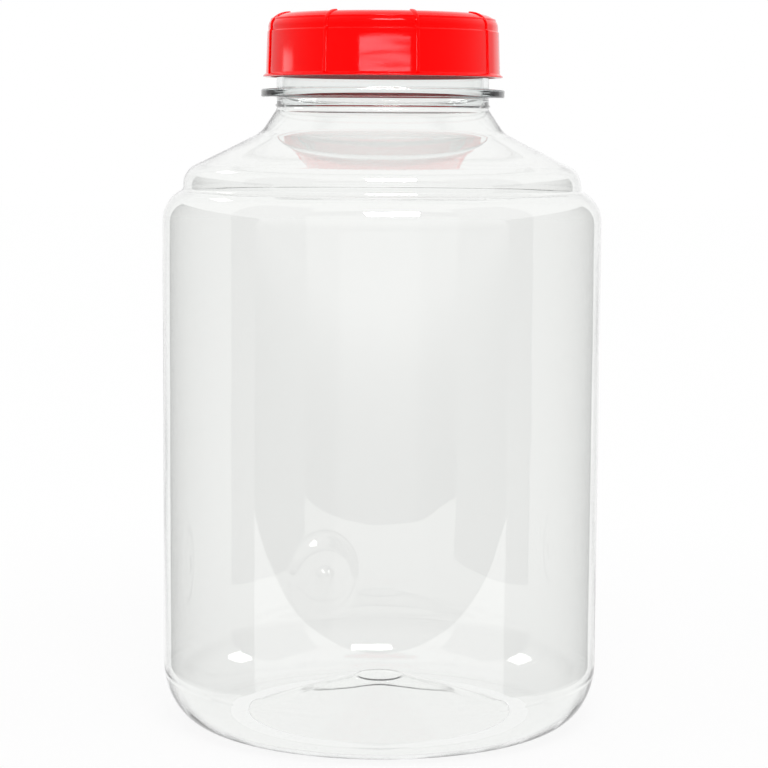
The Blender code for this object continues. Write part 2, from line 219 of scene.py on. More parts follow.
# Materials: scales in waves to the metre, detail, and how much the waves are drawn out
PET_COLOUR = (0.968, 0.971, 0.962, 1.0)
PET_ROUGHNESS = 0.012
PET_IOR = 1.575
PET_TINT = (0.45, 0.72, 0.76, 1.0)
PET_TINT_DENSITY = 7.0
BLOWN_WAVES = (26.0, 1.5, (1.0, 1.0, 0.35))
BLOWN_WAVE_DEPTH = 0.00022
RED_COLOUR = (0.92, 0.0006, 0.0006, 1.0)
RED_MIRROR_TINT = (1.0, 0.10, 0.11, 1.0)
RED_IOR = 1.5
RED_SKIN = (900.0, 3.0)
RED_ROUGHNESS = (0.10, 0.18)
RED_SINKS = (300.0, 1.0, (0.08, 0.08, 1.0))
RED_SINK_DEPTH = 0.00003
FOAM_COLOUR = (0.85, 0.85, 0.83, 1.0)
FOAM_ROUGHNESS = 0.7
FOAM_CELL_SCALE = 2200.0
FOAM_CELL_DEPTH = 0.0002
FLOOR_COLOUR = (0.86, 0.86, 0.86, 1.0)
FLOOR_ROUGHNESS = 0.9
WHITE = (1.0, 1.0, 1.0, 1.0)

# Camera, from the ellipses and the outline of the photograph
CAMERA_PLACE = (0.0015, -1.2267, 0.3086)
CAMERA_PITCH = math.radians(6.20)
CAMERA_ROLL = math.radians(0.35)
CAMERA_LENS = 111.1
CAMERA_SENSOR = 36.0
CAMERA_CLIP_START = 0.01

# Light: the levels are of what a mirror image shows, where 1 is white
SKY_LEVEL = 0.85
SOFTBOX_PLACE = (0.09, -0.85, 1.15)
SOFTBOX_SIZE = (0.50, 0.27)
SOFTBOX_POWER = 6.5
SOFTBOX_GLARE = 60.0
SOFTBOX_AIM = (0.0, 0.0, 0.20)
HORIZON_LEVEL = 0.61
BRIGHT_RISE = 0.40
BACKDROP_BLEND = (0.77, 0.79)
# Painted reflections: a dim glowing card at each side that shows only in mirror images
CARD_DISTANCE = 0.19
CARD_FRONT = -0.147
CARD_BACK = 0.085
CARD_TOP = 0.322
CARD_LEVEL = 0.30
# Painted glints: a glowing card at each side that lights nothing and shows only in light that has
# crossed the bottle's walls several times
SIDE_GLINT_PLACE = (1.0, 0.06, 0.62)
SIDE_GLINT_SIZE = (0.52, 0.34)
SIDE_GLINT_LEVEL = 14.0
SIDE_GLINT_CROSSINGS = 3.5
# Painted reflections on the lid: a glowing panel with streaks and a strip, which only the lid's
# mirror image shows
LID_PANEL = (-0.0230, 0.0268, 0.3384, 0.3590)
LID_PANEL_PLACE = -0.085
LID_PANEL_LEVELS = (6.0, 40.0)
LID_PANEL_STREAKS = (420.0, 1.0, (0.05, 0.05, 1.0))
LID_PANEL_CONTRAST = (0.36, 0.56)
LID_STRIP = (-0.022, 0.010, 0.3370, 0.3600)
LID_STRIP_PLACE = -0.14
LID_STRIP_LEVEL = 5.0
SHEET_EDGE = -0.37
SHEET_LEVEL = 1.0
FAR_FLOOR = -3.2
MIDDLE_GAIN = 0.16
MIDDLE_LEFT_BLEND = (-0.42, -0.36)
MIDDLE_RIGHT_BLEND = (0.34, 0.49)
MIDDLE_RIGHT_SHARE = 1 / 3
FLOOR_REACH = 8.0
FLOOR_BLEND = (0.25, 0.70)
FLOOR_WHITE_SHARES = (0.90, 0.99)
FLOOR_WHITE = 1.0


# Outlines and grids

def unit(across, up):
    """The direction of a step, as a step of length 1."""
    length = math.hypot(across, up)
    return across / length, up / length


def corner_arc(before, corner, after):
    """Points of the arc that rounds a corner, or the corner itself where its rounding is 0."""
    radius, height, rounding = corner
    if rounding == 0:
        return [(radius, height)]
    back = unit(before[0] - radius, before[1] - height)
    on = unit(after[0] - radius, after[1] - height)
    inside = math.acos(back[0] * on[0] + back[1] * on[1])
    turn = math.pi - inside
    reach = rounding / math.tan(inside / 2)
    middle = unit(back[0] + on[0], back[1] + on[1])
    depth = rounding / math.sin(inside / 2)
    centre = (radius + middle[0] * depth, height + middle[1] * depth)
    start = (radius + back[0] * reach - centre[0], height + back[1] * reach - centre[1])
    hand = math.copysign(1, on[0] * back[1] - on[1] * back[0])
    steps = max(3, math.ceil(turn / (ARC_STEP if rounding > SMALL_ROUNDING else SMALL_STEP)))
    arc = []
    for step in range(steps + 1):
        angle = hand * turn * step / steps
        across = start[0] * math.cos(angle) - start[1] * math.sin(angle)
        up = start[0] * math.sin(angle) + start[1] * math.cos(angle)
        arc.append((centre[0] + across, centre[1] + up))
    return arc


def rounded(corners):
    """The outline through (radius, height, rounding) corners, each rounded by its own arc."""
    outline = [corners[0][:2]]
    for before, corner, after in zip(corners, corners[1:], corners[2:]):
        outline += corner_arc(before, corner, after)
    outline.append(corners[-1][:2])
    return outline


def quarter_curve(centre, width, height, steps):
    """Points of a quarter ellipse from the foot of its centre up to its outer side."""
    angles = [math.pi / 2 * step / steps for step in range(steps + 1)]
    return [(centre[0] + width * math.sin(a), centre[1] - height * math.cos(a)) for a in angles]


def filled(outline, spacing):
    """The outline with points added, so that no step is longer than the spacing there.

    A long straight run has one more point close to each end, so that it looks straight.
    """
    result = [outline[0]]
    for start, end in zip(outline, outline[1:]):
        length = math.dist(start, end)
        middle = ((start[0] + end[0]) / 2, (start[1] + end[1]) / 2)
        count = max(1, math.ceil(length / spacing(*middle)))
        shares = [step / count for step in range(1, count)]
        if length > LONG_RUN:
            shares = [HOLD / length, *shares, 1 - HOLD / length]
        for share in [*shares, 1]:
            result.append((
                start[0] + (end[0] - start[0]) * share,
                start[1] + (end[1] - start[1]) * share,
            ))
    return result


def soft_min(first, second, softness):
    """The lesser of two fields, rounded where they cross."""
    near = np.maximum(softness - np.abs(first - second), 0) / softness
    return np.minimum(first, second) - near**2 * softness / 4


def smooth_step(value, low, high):
    """A share that goes smoothly from 0 to 1 as the value goes from low to high."""
    share = np.clip((value - low) / (high - low), 0, 1)
    return share * share * (3 - 2 * share)


# The bottle

def base_outline(step):
    """The underside, from the gate mark on the axis over the standing ring to the heel.

    The ring may stand out from the pushed-up middle by a small step.
    """
    inner_edge = [(FOOT_INNER_RADIUS, 0, FOOT_ROUNDING)]
    if step:
        inner_edge = [
            (FOOT_INNER_RADIUS, step, FOOT_STEP_ROUNDING),
            (FOOT_INNER_RADIUS + step * FOOT_STEP_SLOPE, 0, FOOT_STEP_ROUNDING),
        ]
    return rounded([
        (0, PUSH_UP_HEIGHT, 0),
        (GATE_RADIUS, PUSH_UP_HEIGHT, PUSH_UP_ROUNDING),
        *inner_edge,
        (FOOT_OUTER_RADIUS, 0, FOOT_EDGE_ROUNDING),
        (HEEL_RADIUS, HEEL_LIFT, 0),
    ])


def shoulder_outline():
    """The outside from the top of the heel over the stepped shoulder to the neck's stem."""
    return rounded([
        (BODY_RADIUS, HEEL_HEIGHT, 0),
        (BODY_RADIUS, BOSS_CENTRE_HEIGHT + BOSS_REACH, 0),
        (BODY_RADIUS, BODY_HEIGHT, SHOULDER_ROUNDING),
        (STEP_RADIUS, STEP_FOOT_HEIGHT, STEP_ROUNDING),
        (STEP_RADIUS, STEP_TOP_HEIGHT, UPPER_ROUNDING),
        (FLARE_RADIUS, FLARE_FOOT_HEIGHT, NECK_FLARE_ROUNDING),
        (NECK_RADIUS, NECK_FOOT_HEIGHT, NECK_FOOT_ROUNDING),
        (NECK_RADIUS, RING_BOTTOM, 0),
    ])[:-1]


def blown_outline(step):
    """The outside of the blown part, from the axis underneath up to the stem of the neck."""
    heel = quarter_curve(
        (HEEL_RADIUS, HEEL_HEIGHT), HEEL_WIDTH, HEEL_HEIGHT - HEEL_LIFT, HEEL_STEPS
    )
    return base_outline(step)[:-1] + heel[:-1] + shoulder_outline()


def neck_outline():
    """The outside of the neck from its bead over the support ring to the inside of the rim."""
    bead_top = RING_BOTTOM - NECK_BEAD_DROP
    bead_foot = bead_top - NECK_BEAD_HEIGHT
    bead_radius = NECK_RADIUS + NECK_BEAD_DEPTH
    return rounded([
        (NECK_RADIUS, bead_foot, 0),
        (bead_radius, bead_foot + NECK_BEAD_DEPTH, NECK_BEAD_ROUNDING),
        (bead_radius, bead_top, NECK_BEAD_ROUNDING),
        (NECK_RADIUS, bead_top, 0),
        (NECK_RADIUS, RING_BOTTOM, RING_ROOT_ROUNDING),
        (SUPPORT_RING_RADIUS, RING_BOTTOM, SUPPORT_RING_ROUNDING),
        (SUPPORT_RING_RADIUS, RING_TOP, SUPPORT_RING_ROUNDING),
        (NECK_RADIUS, RING_TOP, RING_ROOT_ROUNDING),
        (NECK_RADIUS, RIM, RIM_ROUNDING),
        (NECK_BORE_RADIUS, RIM, RIM_ROUNDING),
        (NECK_BORE_RADIUS, RING_TOP, 0),
    ])


def wall_at(radius, height):
    """The wall of the blown part: thicker under the base and where it meets the neck."""
    if height < BODY_HEIGHT:
        share = min(1, height / HEEL_HEIGHT) if radius > HEEL_RADIUS else 0
        return BASE_WALL + (BODY_WALL - BASE_WALL) * share
    share = min(1, max(0, (FLARE_RADIUS - radius) / NECK_FLARE_WIDTH))
    return BODY_WALL + (NECK_FOOT_WALL - BODY_WALL) * share


def inside_outline(outside):
    """The outside of the blown part moved in by the wall, from the neck down to the axis."""
    inside = [(0, outside[0][1] + BASE_WALL)]
    for before, point, after in zip(outside, outside[1:], outside[2:] + [(NECK_RADIUS, RIM)]):
        first = unit(point[0] - before[0], point[1] - before[1])
        second = unit(after[0] - point[0], after[1] - point[1])
        spread = 1 + first[0] * second[0] + first[1] * second[1]
        shift = wall_at(*point) / spread
        inside.append((
            point[0] - (first[1] + second[1]) * shift,
            point[1] + (first[0] + second[0]) * shift,
        ))
    return inside[::-1]


def row_spacing(radius, height):
    """How far apart the rows of the bottle may be at a point of its outline."""
    if radius < NECK_RADIUS and height > BODY_HEIGHT:
        return BASE_ROW
    if RING_TOP < height < RIM:
        return THREAD_ROW
    if radius > HEEL_RADIUS and height < BOSS_CENTRE_HEIGHT + BOSS_REACH:
        return BOSS_ROW
    return BASE_ROW if height < HEEL_HEIGHT else BODY_ROW


def column_angles():
    """Angles round the bottle, close together at the boss and at the two mould lines."""
    boss_reach = BOSS_REACH / BODY_RADIUS
    angles = []
    angle = 0.0
    while angle < math.tau - SEAM_COLUMN_WIDTH / 2:
        angles.append(angle)
        to_seam = abs((angle + math.pi / 2) % math.pi - math.pi / 2)
        if abs(angle - BOSS_ANGLE) < boss_reach:
            angle += BOSS_COLUMN_WIDTH
        elif to_seam < SEAM_REACH:
            angle += SEAM_COLUMN_WIDTH
        else:
            seam_ahead = math.pi * math.ceil(angle / math.pi + MERGE_DISTANCE) - SEAM_REACH
            angle += min(COLUMN_WIDTH, max(SEAM_COLUMN_WIDTH, seam_ahead - angle))
    return np.array(angles)


def press_boss(points, inner):
    """Presses the spigot boss into the back wall: a flat disc with a pip and a sloping side."""
    out = np.array([math.cos(BOSS_ANGLE), math.sin(BOSS_ANGLE)])
    side = np.array([-out[1], out[0]])
    depth = points[..., :2] @ out
    across = points[..., :2] @ side
    rise = points[..., 2] - BOSS_CENTRE_HEIGHT
    off = np.hypot(across, rise)
    flank = -soft_min(BOSS_RADIUS - off, np.zeros_like(off), BOSS_SOFTNESS)
    pip = PIP_DEPTH * smooth_step(off, PIP_RADIUS, PIP_TOP_RADIUS)
    pressed = BODY_RADIUS - BOSS_DEPTH + flank / BOSS_FLARE - pip - BODY_WALL * inner
    near = (depth > 0) & (off < BOSS_REACH)
    moved = np.where(near, soft_min(depth, pressed, BOSS_SOFTNESS), depth)
    points[..., :2] += (moved - depth)[..., None] * out


def raise_thread(points):
    """Raises the screw ridge of the neck: right-handed, and fading at both its ends."""
    angle = np.arctan2(points[..., 1], points[..., 0]) % math.tau
    turns = (points[..., 2] - THREAD_START) / THREAD_PITCH
    nearest = np.round(turns - angle / math.tau) + angle / math.tau
    off = np.abs(turns - nearest) * THREAD_PITCH
    ridge = smooth_step(off, THREAD_ROOT_WIDTH / 2, THREAD_CREST_WIDTH / 2)
    from_end = np.minimum(nearest, NECK_THREAD_TURNS - nearest)
    ridge *= NECK_THREAD_HEIGHT * smooth_step(from_end, 0, THREAD_FADE_TURNS)
    radius = np.hypot(points[..., 0], points[..., 1])
    points[..., :2] *= (1 + ridge / radius)[..., None]


def raise_mould_lines(points):
    """Raises the fine lines that the joints of the blow mould leave on the outside."""
    radius = np.maximum(np.hypot(points[..., 0], points[..., 1]), MERGE_DISTANCE)
    round_heel = (points[..., 2] - HEEL_LINE_HEIGHT) / MOULD_LINE_WIDTH
    down_side = points[..., 1] / MOULD_LINE_WIDTH
    above = smooth_step(points[..., 2], HEEL_LINE_HEIGHT, HEEL_HEIGHT)
    relief = np.exp(-(round_heel**2)) + np.exp(-(down_side**2)) * above
    relief *= MOULD_LINE_RELIEF * (radius > MOULD_LINE_INNER_RADIUS)
    points[..., :2] *= (1 + relief / radius)[..., None]


def grid_mesh(name, points, low_pole, high_pole):
    """A mesh of a grid of points that closes on itself sideways and on a pole at each end."""
    rows, columns = points.shape[:2]
    index = np.arange(rows * columns).reshape(rows, columns)
    low, high = index[:-1], index[1:]
    quads = np.stack([low, np.roll(low, -1, 1), np.roll(high, -1, 1), high], -1).reshape(-1, 4)
    first, last = rows * columns, rows * columns + 1
    poles = [(first, b, a) for a, b in zip(index[0], np.roll(index[0], -1))]
    poles += [(last, a, b) for a, b in zip(index[-1], np.roll(index[-1], -1))]
    mesh = bpy.data.meshes.new(name)
    places = np.vstack([points.reshape(-1, 3), low_pole, high_pole])
    mesh.from_pydata(places.tolist(), [], quads.tolist() + poles)
    return mesh


def turned_points(outline, angles):
    """The grid of points that an outline of (radius, height) passes at each angle."""
    radius, height = np.array(outline).T
    x = radius[:, None] * np.cos(angles)
    y = radius[:, None] * np.sin(angles)
    return np.stack([x, y, np.broadcast_to(height[:, None], x.shape)], -1)


def make_bottle(material):
    """The whole bottle as one closed wall, with its boss, thread and mould lines."""
    blown = filled(blown_outline(FOOT_STEP), row_spacing)
    neck = filled(neck_outline(), row_spacing)
    inside = inside_outline(filled(blown_outline(0), row_spacing))
    angles = column_angles()
    outer = turned_points(blown[1:], angles)
    finish = turned_points(neck, angles)
    inner = turned_points(inside[:-1], angles)
    raise_mould_lines(outer)
    press_boss(outer, 0)
    press_boss(inner, 1)
    radii, heights = np.array(neck).T
    threaded = (heights > RING_TOP) & (radii > NECK_RADIUS - RIM_ROUNDING)
    ridged = finish[threaded]
    raise_thread(ridged)
    finish[threaded] = ridged
    points = np.concatenate([outer, finish, inner])
    mesh = grid_mesh("bottle_wall", points, (0, 0, blown[0][1]), (0, 0, inside[-1][1]))
    return finished("bottle_wall", mesh, material)


# Geometry Nodes

def link(tree, value, socket):
    """Feeds a socket from another socket, or sets it to a plain value."""
    if isinstance(value, bpy.types.NodeSocket):
        tree.links.new(value, socket)
    else:
        socket.default_value = value


def add_node(tree, kind, settings=None, **values):
    """A node with these settings, its inputs fed by their names with _ for a space."""
    node = tree.nodes.new(kind)
    for name, value in (settings or {}).items():
        setattr(node, name, value)
    for name, value in values.items():
        link(tree, value, node.inputs[name.replace("_", " ")])
    return node


def maths(tree, operation, *values):
    """The result of a maths node on numbers or sockets."""
    node = tree.nodes.new("ShaderNodeMath")
    node.operation = operation
    for value, socket in zip(values, node.inputs):
        link(tree, value, socket)
    return node.outputs[0]


def ranged(tree, value, start, end, low, high, course="LINEAR"):
    """A field that goes from low to high as the value goes from start to end."""
    node = add_node(
        tree,
        "ShaderNodeMapRange",
        {"interpolation_type": course},
        Value=value,
        From_Min=start,
        From_Max=end,
        To_Min=low,
        To_Max=high,
    )
    return node.outputs["Result"]


def stepped(tree, value, start, end, low, high):
    """A field that goes smoothly from low to high as the value goes from start to end."""
    return ranged(tree, value, start, end, low, high, "SMOOTHSTEP")


def blended(tree, share, first, second):
    """A number between two, by this share of the second."""
    node = add_node(
        tree, "ShaderNodeMix", {"data_type": "FLOAT"}, Factor=share, A=first, B=second
    )
    return node.outputs[0]


def new_tree(name, inputs):
    """A geometry tree with these named inputs, and the sockets that give them."""
    tree = bpy.data.node_groups.new(name, "GeometryNodeTree")
    tree.interface.new_socket("Outline", in_out="INPUT", socket_type="NodeSocketGeometry")
    for label, kind in inputs.items():
        tree.interface.new_socket(label, in_out="INPUT", socket_type=f"NodeSocket{kind}")
    tree.interface.new_socket("Material", in_out="INPUT", socket_type="NodeSocketMaterial")
    tree.interface.new_socket("Geometry", in_out="OUTPUT", socket_type="NodeSocketGeometry")
    return tree, tree.nodes.new("NodeGroupInput").outputs


def end_tree(tree, geometry, given):
    """Ends a tree with its instances made real and its material set."""
    real = add_node(tree, "GeometryNodeRealizeInstances", Geometry=geometry)
    painted = add_node(
        tree,
        "GeometryNodeSetMaterial",
        Geometry=real.outputs["Geometry"],
        Material=given["Material"],
    )
    output = tree.nodes.new("NodeGroupOutput")
    tree.links.new(painted.outputs["Geometry"], output.inputs["Geometry"])
    return tree


def turning_tree():
    """Turns the outline round the Z axis, each of its points becoming a row of the form."""
    tree, given = new_tree("turned_form", {"Rows": "Int", "Columns": "Int"})
    across = maths(tree, "ADD", given["Columns"], 1)
    grid = add_node(tree, "GeometryNodeMeshGrid", Vertices_X=given["Rows"], Vertices_Y=across)
    index = tree.nodes.new("GeometryNodeInputIndex").outputs[0]
    row = maths(tree, "FLOOR", maths(tree, "DIVIDE", maths(tree, "ADD", index, 0.5), across))
    column = maths(tree, "SUBTRACT", index, maths(tree, "MULTIPLY", row, across))
    place = add_node(
        tree,
        "GeometryNodeSampleIndex",
        {"data_type": "FLOAT_VECTOR"},
        Geometry=given["Outline"],
        Value=tree.nodes.new("GeometryNodeInputPosition").outputs[0],
        Index=row,
    )
    angle = maths(tree, "DIVIDE", maths(tree, "MULTIPLY", column, math.tau), given["Columns"])
    turned = add_node(
        tree,
        "ShaderNodeVectorRotate",
        {"rotation_type": "Z_AXIS"},
        Vector=place.outputs[0],
        Angle=angle,
    )
    placed = add_node(
        tree,
        "GeometryNodeSetPosition",
        Geometry=grid.outputs["Mesh"],
        Position=turned.outputs[0],
    )
    closed = add_node(
        tree,
        "GeometryNodeMergeByDistance",
        Geometry=placed.outputs["Geometry"],
        Distance=MERGE_DISTANCE,
    )
    facing = add_node(tree, "GeometryNodeFlipFaces", Mesh=closed.outputs["Geometry"])
    return end_tree(tree, facing.outputs["Mesh"], given)


def swept(tree, path, width, crest, height, sink, rounding):
    """A raised ridge of trapezium section along a path whose normals lie across the ridge."""
    section = add_node(
        tree,
        "GeometryNodeCurvePrimitiveQuadrilateral",
        {"mode": "TRAPEZOID"},
        Height=maths(tree, "ADD", height, sink),
        Bottom_Width=width,
        Top_Width=crest,
        Offset=0.0,
    )
    soft = add_node(
        tree,
        "GeometryNodeFilletCurve",
        {"mode": "POLY"},
        Curve=section.outputs["Curve"],
        Count=RIDGE_CORNER_STEPS,
        Radius=rounding,
    )
    lift = maths(tree, "DIVIDE", maths(tree, "SUBTRACT", height, sink), 2)
    offset = add_node(tree, "ShaderNodeCombineXYZ", Y=lift)
    placed = add_node(
        tree,
        "GeometryNodeTransform",
        Geometry=soft.outputs["Curve"],
        Translation=offset.outputs[0],
    )
    ridge = add_node(
        tree,
        "GeometryNodeCurveToMesh",
        Curve=path,
        Profile_Curve=placed.outputs["Geometry"],
        Fill_Caps=True,
    )
    return ridge.outputs["Mesh"]


def rib_tree():
    """Sweeps a rib along the outline and repeats it round the Z axis."""
    numbers = ("Foot Width", "Crest Width", "Height", "Sink", "Rounding", "First Angle")
    tree, given = new_tree("lid_ribs", {"Count": "Int", **dict.fromkeys(numbers, "Float")})
    line = add_node(tree, "GeometryNodeMeshToCurve", Mesh=given["Outline"])
    path = add_node(
        tree,
        "GeometryNodeSetCurveNormal",
        {"mode": "FREE"},
        Curve=line.outputs["Curve"],
        Normal=(0.0, -1.0, 0.0),
    )
    rib = swept(tree, path.outputs["Curve"], *(given[name] for name in numbers[:-1]))
    points = add_node(tree, "GeometryNodePoints", Count=given["Count"])
    index = tree.nodes.new("GeometryNodeInputIndex").outputs[0]
    step = maths(tree, "DIVIDE", math.tau, given["Count"])
    angle = maths(tree, "MULTIPLY_ADD", index, step, given["First Angle"])
    turn = add_node(tree, "ShaderNodeCombineXYZ", Z=angle)
    ring = add_node(
        tree,
        "GeometryNodeInstanceOnPoints",
        Points=points.outputs[0],
        Instance=rib,
        Rotation=turn.outputs[0],
    )
    return end_tree(tree, ring.outputs["Instances"], given)


def thread_tree():
    """Winds a ridge on a right-handed helix inside the radius, smaller towards both its ends."""
    numbers = ("Radius", "Pitch", "Turns", "Start", "Root Width", "Crest Width", "Height", "Angle")
    tree, given = new_tree("lid_thread", dict.fromkeys(numbers, "Float"))
    helix = add_node(
        tree,
        "GeometryNodeCurveSpiral",
        Resolution=HELIX_STEPS,
        Rotations=given["Turns"],
        Start_Radius=given["Radius"],
        End_Radius=given["Radius"],
        Height=maths(tree, "MULTIPLY", given["Turns"], given["Pitch"]),
        Reverse=True,
    )
    along = tree.nodes.new("GeometryNodeSplineParameter").outputs["Factor"]
    from_end = maths(tree, "MINIMUM", along, maths(tree, "SUBTRACT", 1.0, along))
    fade_length = THREAD_FADE_TURNS / LID_THREAD_TURNS
    thinned = add_node(
        tree,
        "GeometryNodeSetCurveRadius",
        Curve=helix.outputs["Curve"],
        Radius=stepped(tree, from_end, 0.0, fade_length, LID_THREAD_END_SHARE, 1.0),
    )
    upright = add_node(
        tree,
        "GeometryNodeSetCurveNormal",
        {"mode": "FREE"},
        Curve=thinned.outputs["Curve"],
        Normal=(0.0, 0.0, -1.0),
    )
    ridge = swept(
        tree,
        upright.outputs["Curve"],
        given["Root Width"],
        given["Crest Width"],
        given["Height"],
        LID_THREAD_SINK,
        LID_THREAD_ROUNDING,
    )
    raised = add_node(tree, "ShaderNodeCombineXYZ", Z=given["Start"])
    turned = add_node(tree, "ShaderNodeCombineXYZ", Z=given["Angle"])
    placed = add_node(
        tree,
        "GeometryNodeTransform",
        Geometry=ridge,
        Translation=raised.outputs[0],
        Rotation=turned.outputs[0],
    )
    return end_tree(tree, placed.outputs["Geometry"], given)


def outline_mesh(outline):
    """A mesh of edges through the points of an outline, in the XZ plane."""
    mesh = bpy.data.meshes.new("outline")
    points = [(radius, 0, height) for radius, height in outline]
    mesh.from_pydata(points, [(step, step + 1) for step in range(len(points) - 1)], [])
    return mesh


def grown(name, tree, outline, **values):
    """The plain mesh object that a geometry tree makes of an outline with these inputs."""
    maker = bpy.data.objects.new(f"{name}_maker", outline_mesh(outline))
    bpy.context.scene.collection.objects.link(maker)
    modifier = maker.modifiers.new("form", "NODES")
    modifier.node_group = tree
    for item in tree.interface.items_tree:
        key = item.name.replace(" ", "_").lower()
        if item.in_out == "INPUT" and key in values:
            modifier[item.identifier] = values[key]
    evaluated = maker.evaluated_get(bpy.context.evaluated_depsgraph_get())
    mesh = bpy.data.meshes.new_from_object(evaluated)
    bpy.data.objects.remove(maker)
    return finished(name, mesh)


def finished(name, mesh, material=None):
    """An object at the origin for a finished mesh, smooth but for its sharp edges."""
    if material:
        mesh.materials.append(material)
    mesh.shade_smooth()
    mesh.set_sharp_from_angle(angle=SMOOTH_ANGLE)
    piece = bpy.data.objects.new(name, mesh)
    bpy.context.scene.collection.objects.link(piece)
    return piece


# The lid and its seal

def lid_inside():
    """The inside of the lid, from the middle of its ceiling over the plug ring to its edge."""
    plug_inside = LID_PLUG_RADIUS - LID_PLUG_WALL
    plug_end = LID_CEILING - LID_PLUG_DEPTH
    return rounded([
        (0, LID_CEILING, 0),
        (plug_inside, LID_CEILING, LID_PLUG_ROOT_ROUNDING),
        (plug_inside, plug_end, LID_PLUG_ROUNDING),
        (LID_PLUG_RADIUS, plug_end, LID_PLUG_ROUNDING),
        (LID_PLUG_RADIUS, LID_CEILING, 0),
        (LID_BORE_RADIUS, LID_CEILING, LID_BORE_ROUNDING),
        (LID_BORE_RADIUS, LID_EDGE, 0),
    ])[:-1]


def lid_side():
    """The outside of the lid from the foot of its skirt over the ledge to its flat top."""
    band = LID_LEDGE_RADIUS - LID_LEDGE_DEPTH
    ledge = LID_TOP - LID_LEDGE_DROP
    side = rounded([
        (LID_SKIRT_RADIUS + LID_FLANGE_WIDTH, LID_EDGE + LID_FLANGE_ROUNDING, 0),
        (LID_SKIRT_RADIUS, LID_EDGE + LID_FLANGE_THICKNESS, LID_FLANGE_ROOT_ROUNDING),
        (LID_LEDGE_RADIUS, ledge - LID_LEDGE_DEPTH, LID_LEDGE_ROUNDING),
        (band, ledge, LID_BAND_ROUNDING),
        (band, LID_TOP - LID_CROWN_HEIGHT, 0),
    ])
    centre = (band - LID_CROWN_WIDTH, LID_TOP - LID_CROWN_HEIGHT)
    crown = []
    for step in range(1, CROWN_STEPS + 1):
        angle = math.pi / 2 * step / CROWN_STEPS
        across = centre[0] + LID_CROWN_WIDTH * math.cos(angle)
        crown.append((across, centre[1] + LID_CROWN_HEIGHT * math.sin(angle)))
    return side[1:] + crown


def make_lid(material, turning):
    """The lid's shell, its ribs and its inside thread."""
    flange = rounded([
        (LID_BORE_RADIUS, LID_EDGE, 0),
        (LID_SKIRT_RADIUS + LID_FLANGE_WIDTH, LID_EDGE, LID_FLANGE_ROUNDING),
        (LID_SKIRT_RADIUS, LID_EDGE + LID_FLANGE_THICKNESS, 0),
    ])[:-1]
    gate = [
        (LID_GATE_HOLD_RADIUS, LID_TOP),
        (LID_GATE_RIM_RADIUS, LID_TOP),
        (LID_GATE_RADIUS, LID_TOP - LID_GATE_DEPTH),
        (0, LID_TOP - LID_GATE_DEPTH),
    ]
    outline = lid_inside() + flange + lid_side() + gate
    shell = grown(
        "lid_shell",
        turning,
        outline,
        rows=len(outline),
        columns=LID_COLUMNS,
        material=material,
    )
    ribs = grown(
        "lid_ribs",
        rib_tree(),
        lid_side(),
        count=RIB_COUNT,
        foot_width=RIB_FOOT_WIDTH,
        crest_width=RIB_CREST_WIDTH,
        height=RIB_HEIGHT,
        sink=RIB_SINK,
        rounding=RIB_ROUNDING,
        first_angle=RIB_FIRST_ANGLE,
        material=material,
    )
    thread = grown(
        "lid_thread_ridge",
        thread_tree(),
        [(0, 0), (0, 1)],
        radius=LID_BORE_RADIUS,
        pitch=THREAD_PITCH,
        turns=LID_THREAD_TURNS,
        start=LID_EDGE + LID_THREAD_EDGE_GAP,
        root_width=THREAD_ROOT_WIDTH,
        crest_width=THREAD_CREST_WIDTH,
        height=LID_BORE_RADIUS - NECK_RADIUS - LID_THREAD_CLEARANCE,
        angle=math.tau * LID_THREAD_RISE / THREAD_PITCH,
        material=material,
    )
    return shell, ribs, thread


def make_seal(material, turning):
    """The flat foam ring, with soft edges, between the rim and the lid's ceiling."""
    inner = LID_PLUG_RADIUS + SEAT_GAP
    outer = NECK_RADIUS + SEAL_OVERHANG
    low, high = RIM + SEAT_GAP, RIM + SEAT_GAP + SEAL_THICKNESS
    middle = (inner + outer) / 2
    outline = rounded([
        (middle, low, 0),
        (outer, low, SEAL_ROUNDING),
        (outer, high, SEAL_ROUNDING),
        (inner, high, SEAL_ROUNDING),
        (inner, low, SEAL_ROUNDING),
        (middle, low, 0),
    ])
    return grown(
        "seal_ring",
        turning,
        outline,
        rows=len(outline),
        columns=LID_COLUMNS,
        material=material,
    )


# Materials

def new_material(name, **inputs):
    """A material whose Principled shader has these inputs, and its tree and shader."""
    material = bpy.data.materials.new(name)
    material.use_nodes = True
    tree = material.node_tree
    shader = tree.nodes["Principled BSDF"]
    for key, value in inputs.items():
        shader.inputs[key.replace("_", " ")].default_value = value
    return material, tree, shader


def noise(tree, scale, detail, stretch=(1.0, 1.0, 1.0)):
    """Noise on the piece's own coordinates, so many waves to the metre."""
    place = tree.nodes.new("ShaderNodeTexCoord").outputs["Object"]
    mapping = add_node(tree, "ShaderNodeMapping", Vector=place, Scale=stretch)
    field = add_node(
        tree, "ShaderNodeTexNoise", Vector=mapping.outputs[0], Scale=scale, Detail=detail
    )
    return field.outputs["Fac"]


def bumped(tree, shader, height, distance, strength=1.0):
    """Gives a shader a bump, as deep as the distance where its height goes from 0 to 1."""
    bump = add_node(
        tree, "ShaderNodeBump", Height=height, Distance=distance, Strength=strength
    )
    tree.links.new(bump.outputs["Normal"], shader.inputs["Normal"])


